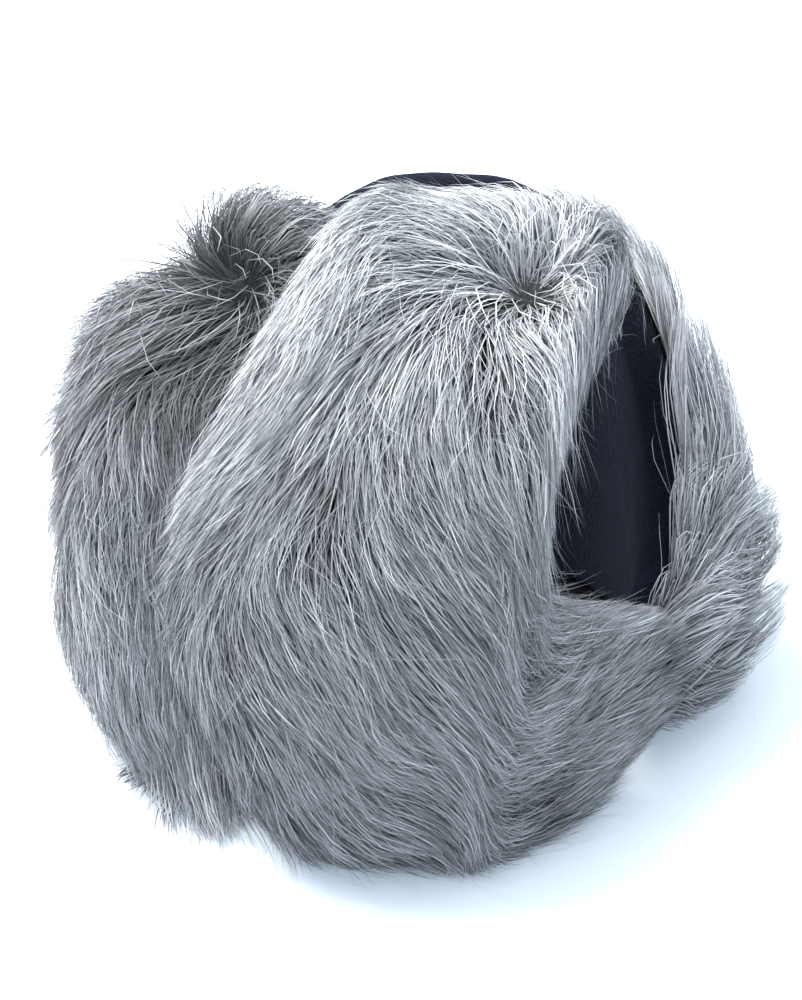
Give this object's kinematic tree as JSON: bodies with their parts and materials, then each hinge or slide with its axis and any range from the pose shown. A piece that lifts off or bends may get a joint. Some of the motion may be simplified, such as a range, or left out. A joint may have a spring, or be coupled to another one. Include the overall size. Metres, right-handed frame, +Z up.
{
  "type": "fur earmuffs",
  "caption": "Wrap-around fur earmuffs: grey long-pile fur over a black padded fleece lining, in a curled band with two ear cups.",
  "frame": {"origin": "bottom centre of the bounding box, on the surface the earmuffs rest on", "axes": "+Z up, +Y towards the back band, so the open side faces -Y; +X towards the left ear cup"},
  "size_m": [0.1432, 0.1564, 0.1124],
  "materials": {
    "grey_fur": "long-pile fur",
    "black_fleece": "matte fleece"
  },
  "bodies": {
    "root": {"band_fur": "grey_fur", "band_lining": "black_fleece", "left_cup_fur": "grey_fur", "left_cup_lining": "black_fleece", "right_cup_fur": "grey_fur", "right_cup_lining": "black_fleece"}
  },
  "joints": []
}
